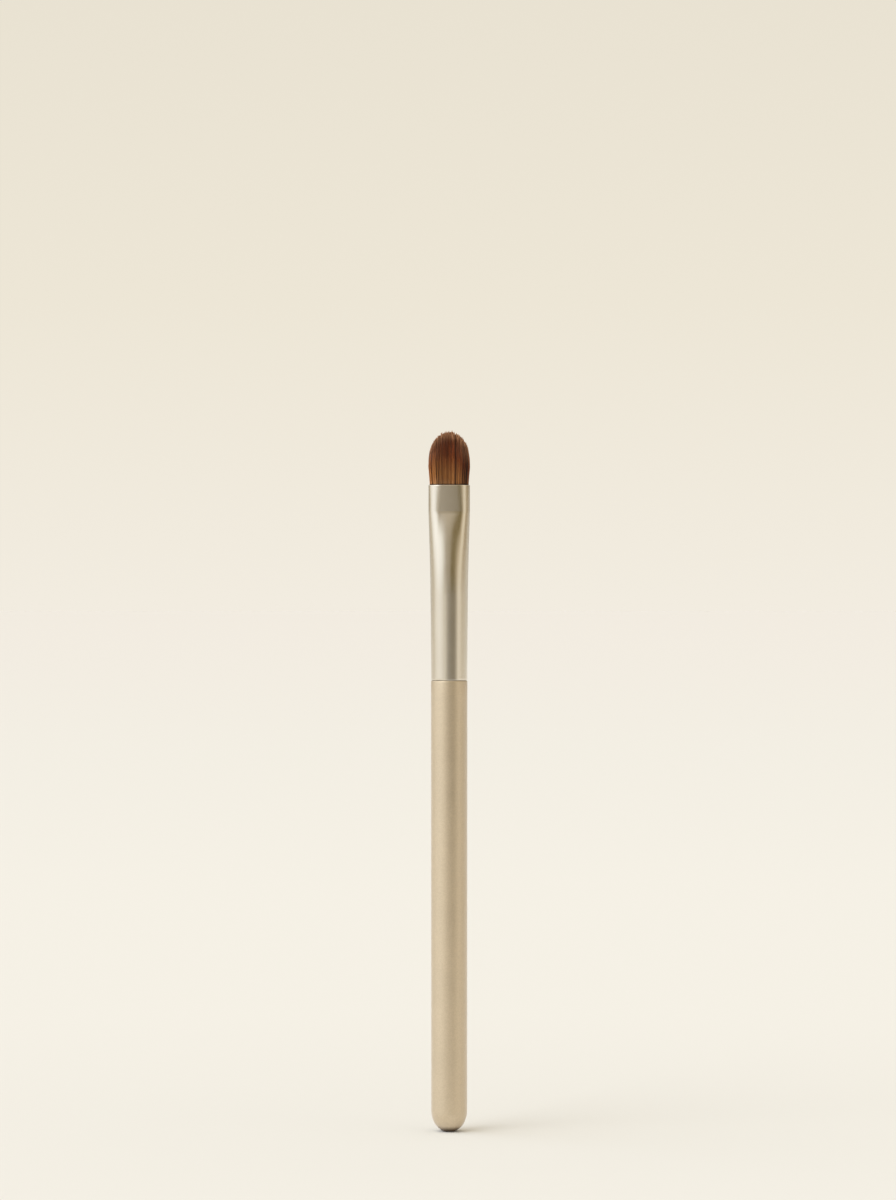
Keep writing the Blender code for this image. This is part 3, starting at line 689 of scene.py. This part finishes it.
    # The dome: a superellipse over the tuft's width and thickness.
    part = n(SEPARATE, {0: tip})
    terms = []
    for axis, side in (("X", "Width"), ("Y", "Thickness")):
        half = n(MATH, {0: given[side], 1: 0.5}, operation="MULTIPLY")
        ratio = n(MATH, {0: n(MATH, {0: part.outputs[axis], 1: half}, operation="DIVIDE")}, operation="ABSOLUTE")
        terms.append(n(MATH, {0: ratio, 1: given["Dome Power"]}, operation="POWER"))
    left = n(MATH, {0: 1.0, 1: n(MATH, {0: terms[0], 1: terms[1]}, operation="ADD")}, operation="SUBTRACT")
    crown = n(MATH, {0: n(MATH, {0: left, 1: 0.0}, operation="MAXIMUM")}, operation="SQRT")
    above = n(MATH, {0: given["Length"], 1: given["Belly Height"]}, operation="SUBTRACT")
    top = n(MATH, {0: crown, 1: above, 2: given["Belly Height"]}, operation="MULTIPLY_ADD")
    # Streaks end at slightly different heights. Only a few filaments reach the full height, which frays the edge.
    full_reach, streak_step, fray = 0.995, 0.04, 0.14
    cut = n(MATH, {0: strand, 1: 0.4}, operation="POWER")
    uneven = n(MATH, {0: streak, 1: streak_step, 2: full_reach}, operation="MULTIPLY_ADD")
    short = n(MATH, {0: cut, 1: -fray, 2: uneven}, operation="MULTIPLY_ADD")
    top = n(MATH, {0: top, 1: short}, operation="MULTIPLY")
    reach = n(MATH, {0: top, 1: given["Root Depth"]}, operation="ADD")
    height = n(MATH, {0: reach, 1: rise, 2: n(MATH, {0: given["Root Depth"], 1: -1.0}, operation="MULTIPLY")},
               operation="MULTIPLY_ADD")
    flare = n(MAP_RANGE, {"Value": height, "From Min": 0.0, "From Max": given["Belly Height"]},
              interpolation_type="SMOOTHSTEP")
    turn = n(MAP_RANGE, {
        "Value": height, "From Min": n(MATH, {0: given["Belly Height"], 1: 0.6}, operation="MULTIPLY"),
        "From Max": top})
    ease = n(MATH, {0: turn, 1: 2.0}, operation="POWER")
    lower = n(MIX, {"Factor": flare, "A": root, "B": belly}, data_type="VECTOR")
    bent = n(VECTOR_MATH, {0: n(VECTOR_MATH, {0: tip, 1: belly}, operation="SUBTRACT"), "Scale": ease},
             operation="SCALE")
    level = n(VECTOR_MATH, {0: lower, 1: bent}, operation="ADD")
    lifted = n(COMBINE, {"Z": n(MATH, {0: height, 1: given["Mouth Height"]}, operation="ADD")})
    placed = n("GeometryNodeSetPosition", {
        "Geometry": strands, "Position": n(VECTOR_MATH, {0: level, 1: lifted}, operation="ADD")})
    taper = n(MAP_RANGE, {"Value": rise, "From Min": 0.7, "From Max": 1.0, "To Min": 1.0, "To Max": 0.2})
    tapered = n("GeometryNodeSetCurveRadius", {"Curve": placed, "Radius": taper})
    section = n("GeometryNodeCurvePrimitiveCircle", {
        "Resolution": 3, "Radius": n(MATH, {0: given["Strand Diameter"], 1: 0.5}, operation="MULTIPLY")},
        mode="RADIUS")
    tubes = n("GeometryNodeCurveToMesh", {
        "Curve": tapered, "Profile Curve": section.outputs["Curve"], "Fill Caps": True})
    smooth = n("GeometryNodeSetShadeSmooth", {"Geometry": tubes})
    whole = n("GeometryNodeRealizeInstances", {"Geometry": smooth})
    dyed = n("GeometryNodeSetMaterial", {"Geometry": whole, "Material": material})
    tree.links.new(dyed.outputs[0], result.inputs[0])
    return tree


def studio_light(settings):
    """The studio's surroundings: a warm pale sweep for the camera, and soft boxes for light and reflections."""
    world = bpy.data.worlds.new("studio")
    world.use_nodes = True
    tree = world.node_tree
    n = partial(add, tree)
    tree.nodes.clear()
    toward = n(VECTOR_MATH, {0: n(COORDINATES).outputs["Generated"]}, operation="NORMALIZE")
    climb = n(SEPARATE, {0: toward}).outputs["Z"]
    sweep = n(RAMP, {"Fac": n(MAP_RANGE, {"Value": climb, "From Max": 0.25})}, stops=(
        (0.0, linear("f2ece0")), (0.3, linear("ede6d6")), (0.6, linear("e9e2d2")), (1.0, linear("e7e0d0"))))

    def lobe(azimuth, elevation, inner, outer, low):
        """A soft patch of the surroundings, and so many times lower than it is wide."""
        squeezed = n(VECTOR_MATH, {0: toward, 1: (1.0, 1.0, low)}, operation="MULTIPLY")
        level = n(VECTOR_MATH, {0: squeezed}, operation="NORMALIZE")
        return cone(n, level, azimuth, elevation, inner, outer)

    # A warm room, brightest overhead.
    base = n(MAP_RANGE, {"Value": climb, "From Min": -0.2, "From Max": 1.0, "To Min": 0.32, "To Max": 1.06})
    light = n(VECTOR_MATH, {0: linear("fff4e2")[:3], "Scale": base}, operation="SCALE")
    # The room shows dark behind the camera and beside the brush.
    for azimuth, elevation, inner, outer, low, colour in (
            (28, 14, 19, 28, 1.75, "86764e"),
            (-8, 22, 8, 18, 2.0, "b8ae9c"),
            (93, 3, 12, 26, 2.5, "a08a5c"),
            (-101, 3, 15, 33, 1.0, "ac9c7b")):
        light = n(MIX, {
            "Factor": lobe(azimuth, elevation, inner, outer, low), "A": light, "B": linear(colour)[:3]},
            data_type="VECTOR")
    # A large cool window on the left, and a small warm lamp on the right.
    for azimuth, elevation, inner, outer, low, colour, level in (
            (-73, 39, 30, 50, 2.5, "e0ecff", 1.28),
            (58, 15, 6, 31, 1.0, "bdb6aa", 1.0)):
        glow = tuple(level * value for value in linear(colour)[:3])
        light = n(VECTOR_MATH, {0: lobe(azimuth, elevation, inner, outer, low), 1: glow, 2: light},
                  operation="MULTIPLY_ADD")
    seen = n("ShaderNodeBackground", {"Color": sweep.outputs["Color"], "Strength": 1.0})
    lit = n("ShaderNodeBackground", {"Color": light, "Strength": settings.sky_level})
    camera_ray = n("ShaderNodeLightPath").outputs["Is Camera Ray"]
    mixed = n("ShaderNodeMixShader", {0: camera_ray, 1: lit, 2: seen})
    n("ShaderNodeOutputWorld", {"Surface": mixed})
    bpy.context.scene.world = world


def key_lamp(settings):
    """One broad lamp at the front left, which gives the faint shadow on the floor."""
    lamp = bpy.data.lights.new("key", "SUN")
    lamp.energy = settings.key_level
    lamp.angle = settings.key_spread
    lamp.color = (0.95, 0.98, 1.0)
    linked("key", lamp).rotation_euler = Euler((math.radians(48), 0, math.radians(-51)))


def stage_floor(settings):
    """A round floor, finely divided near the brush."""
    shape = bmesh.new()
    sides, drop = 64, 0.01 * MM
    rings = [ring(shape, radius, -drop, sides) for radius in (0.03, 0.3, 3.0, settings.floor_radius)]
    shape.faces.new(rings[0])
    for low, high in zip(rings, rings[1:]):
        for k in range(sides):
            shape.faces.new((low[k], high[k], high[(k + 1) % sides], low[(k + 1) % sides]))
    floor = solid("floor", shape, smooth=False)
    floor.data.materials.append(floor_material(settings))


def stage_camera(settings):
    """The camera at the photograph's angle: a long level lens at about three quarters of the brush's height."""
    camera = bpy.data.cameras.new("camera")
    camera.lens = settings.camera_lens
    camera.sensor_width = 36.0
    camera.clip_start = 0.01
    camera.clip_end = 200.0
    holder = linked("camera", camera)
    holder.location = (settings.camera_side, -settings.camera_distance, settings.camera_height)
    holder.rotation_euler = Euler((math.pi / 2, 0, 0))
    bpy.context.scene.camera = holder


class BRUSH_OT_add_handle(bpy.types.Operator):
    """Adds the turned and lacquered handle with its tenon"""
    bl_idname = "brush.add_handle"
    bl_label = "Add Handle"

    def execute(self, context):
        settings = context.scene.brush_handle
        piece = turned("lacquered_handle", handle_profile(settings), settings.sides)
        piece.data.materials.append(lacquer_material(settings))
        join_frame(piece, "handle_lacquer", "handle")
        return {"FINISHED"}


class BRUSH_OT_add_ferrule(bpy.types.Operator):
    """Adds the drawn tube that is round at the handle and pressed flat at the mouth"""
    bl_idname = "brush.add_ferrule"
    bl_label = "Add Ferrule"

    def execute(self, context):
        settings = context.scene.brush_ferrule
        sizes = sized(
            settings, "Length", "Diameter", "Taper", "Mouth Width", "Mouth Thickness", "Mouth Corner", "Mouth Stretch",
            "Crease Stretch", "Panel Length", "Round Length", "Press Ease", "Crown", "Sides", "Rings")
        sizes["Seam Height"] = SEAM_HEIGHT
        tree = ferrule_tree(sizes, ferrule_material(settings))
        piece = grown("pressed_ferrule", tree, sizes, (
            ("SOLIDIFY", {"thickness": settings.wall, "offset": -1.0, "use_even_offset": True}),
            ("BEVEL", {"width": FERRULE_EDGE_ROUND, "segments": 3, "limit_method": "ANGLE",
                       "angle_limit": math.radians(60)}),
        ))
        join_frame(piece, "ferrule_aluminium", "ferrule")
        return {"FINISHED"}


class BRUSH_OT_add_tuft(bpy.types.Operator):
    """Adds the domed tuft, filament by filament"""
    bl_idname = "brush.add_tuft"
    bl_label = "Add Tuft"

    def execute(self, context):
        settings = context.scene.brush_tuft
        ferrule = context.scene.brush_ferrule
        thickness = ferrule.mouth_thickness + ferrule.crown
        inset = 2 * ferrule.wall + settings.strand_diameter
        sizes = sized(settings, "Length", "Belly Height", "Root Depth", "Strand Diameter", "Strand Spacing", "Seed")
        sizes.update({
            "Width": settings.width - 2 * settings.strand_diameter,
            "Thickness": settings.thickness - settings.strand_diameter,
            "Root Width": ferrule.mouth_width - inset, "Root Thickness": thickness - inset,
            "Root Corner": ferrule.mouth_corner - 0.1 * MM, "Root Stretch": ferrule.mouth_stretch,
            "Dome Power": DOME_POWER, "Mouth Height": MOUTH_HEIGHT})
        tree = tuft_tree(sizes, filament_material(settings))
        piece = grown("filament_tuft", tree, sizes)
        join_frame(piece, "filament", "bristle_tuft")
        return {"FINISHED"}


class BRUSH_OT_add_inner_pieces(bpy.types.Operator):
    """Adds the root plug and its binding, and finishes the adhesive round the tenon"""
    bl_idname = "brush.add_inner_pieces"
    bl_label = "Add Inner Pieces"

    def execute(self, context):
        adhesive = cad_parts["tenon_adhesive"].data.materials
        adhesive.clear()
        adhesive.append(resin_material("cast_clear_amber_epoxy", "c79a5a", "8a6233"))
        for name, node, slot, material in (
                ("cast_root_plug", "root_plug", "epoxy",
                 resin_material("filament_roots_set_in_epoxy", "8a5a34", "4d2e1a")),
                ("bound_roots", "root_binding", "binding_thread", thread_material())):
            piece = pressed_copy(name, node)
            piece.data.materials.append(material)
            join_frame(piece, slot, node)
        return {"FINISHED"}


class BRUSH_OT_add_stage(bpy.types.Operator):
    """Adds the floor, the studio light and the camera"""
    bl_idname = "brush.add_stage"
    bl_label = "Add Stage"

    def execute(self, context):
        settings = context.scene.brush_stage
        stage_floor(settings)
        studio_light(settings)
        key_lamp(settings)
        stage_camera(settings)
        context.scene.view_settings.view_transform = "Standard"
        return {"FINISHED"}


SETTINGS = {
    "brush_handle": HandleSettings,
    "brush_ferrule": FerruleSettings,
    "brush_tuft": TuftSettings,
    "brush_stage": StageSettings,
}
OPERATORS = (
    BRUSH_OT_add_handle,
    BRUSH_OT_add_ferrule,
    BRUSH_OT_add_tuft,
    BRUSH_OT_add_inner_pieces,
    BRUSH_OT_add_stage,
)


class BRUSH_PT_builder(bpy.types.Panel):
    """Lists the brush's settings and the steps that build it"""
    bl_idname = "BRUSH_PT_builder"
    bl_label = "Concealer Brush"
    bl_space_type = "VIEW_3D"
    bl_region_type = "UI"
    bl_category = "Brush"

    def draw(self, context):
        for name, group in SETTINGS.items():
            box = self.layout.box()
            box.label(text=group.__doc__)
            for key in group.__annotations__:
                box.prop(getattr(context.scene, name), key)
        for operator in OPERATORS:
            self.layout.operator(operator.bl_idname)


def register():
    for group in SETTINGS.values():
        bpy.utils.register_class(group)
    for name, group in SETTINGS.items():
        setattr(bpy.types.Scene, name, PointerProperty(type=group))
    for kind in OPERATORS + (BRUSH_PT_builder,):
        bpy.utils.register_class(kind)


def unregister():
    for kind in reversed(OPERATORS + (BRUSH_PT_builder,)):
        bpy.utils.unregister_class(kind)
    for name in SETTINGS:
        delattr(bpy.types.Scene, name)
    for group in reversed(SETTINGS.values()):
        bpy.utils.unregister_class(group)


def main():
    register()
    bpy.ops.brush.add_handle()
    bpy.ops.brush.add_ferrule()
    bpy.ops.brush.add_tuft()
    bpy.ops.brush.add_inner_pieces()
    bpy.ops.brush.add_stage()


if __name__ == "__main__":
    main()
